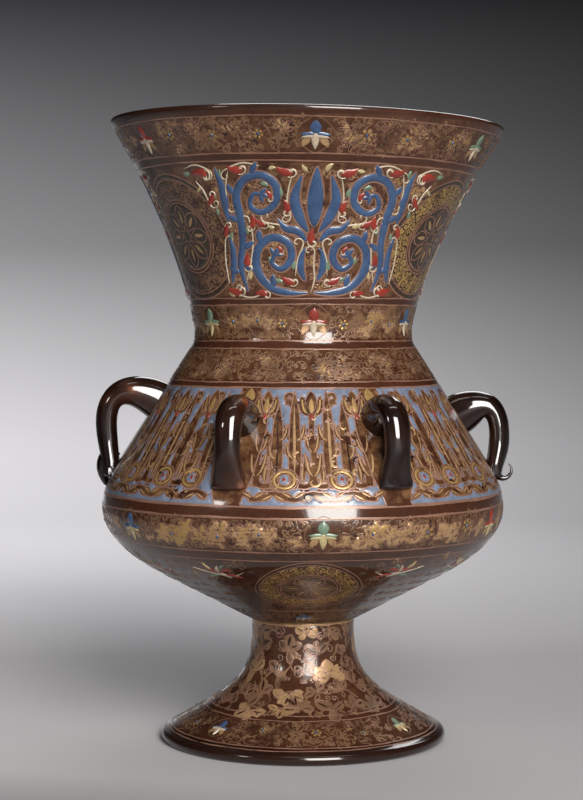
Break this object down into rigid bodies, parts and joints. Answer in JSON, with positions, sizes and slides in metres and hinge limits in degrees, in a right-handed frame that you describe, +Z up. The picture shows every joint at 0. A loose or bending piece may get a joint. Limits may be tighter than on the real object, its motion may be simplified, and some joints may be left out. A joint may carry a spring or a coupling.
{
  "type": "mosque lamp",
  "caption": "Footed glass oil lamp with a flared funnel neck, wide bowl and applied loop handles for hanging, holding a lift-out oil cup with a floating wick.",
  "frame": {"origin": "on the lamp's axis, in the plane that the foot stands on", "axes": "+Z up the lamp's axis, -Y towards the front that the picture shows, +X to that front's right"},
  "size_m": [0.221, 0.216, 0.3299],
  "materials": {
    "enamelled_glass": "glossy brown glass, gilded and enamelled",
    "handle_glass": "glossy dark amber glass",
    "clear_glass": "clear greenish blown glass",
    "cork": "cut cork",
    "tinplate": "tinned sheet",
    "brass": "drawn brass tube",
    "cotton": "braided cotton"
  },
  "bodies": {
    "lamp": {"glass_body": "enamelled_glass", "foot": "enamelled_glass", "handle_left": "handle_glass", "handle_front_left": "handle_glass", "handle_front_right": "handle_glass", "handle_right": "handle_glass", "handle_back_right": "handle_glass", "handle_back_left": "handle_glass"},
    "oil_cup": {"oil_cup": "clear_glass"},
    "wick_float": {"cork_float": "cork", "float_plate": "tinplate", "wick_tube": "brass"},
    "wick": {"wick": "cotton"}
  },
  "joints": [
    {"name": "cup_lift", "type": "slide", "parent": "lamp", "child": "oil_cup", "axis": [0, 0, 1], "range_m": [0, 0.28]},
    {"name": "float_rise", "type": "slide", "parent": "oil_cup", "child": "wick_float", "axis": [0, 0, 1], "range_m": [0, 0.038]},
    {"name": "wick_feed", "type": "slide", "parent": "wick_float", "child": "wick", "axis": [0, 0, 1], "range_m": [0, 0.012]}
  ]
}
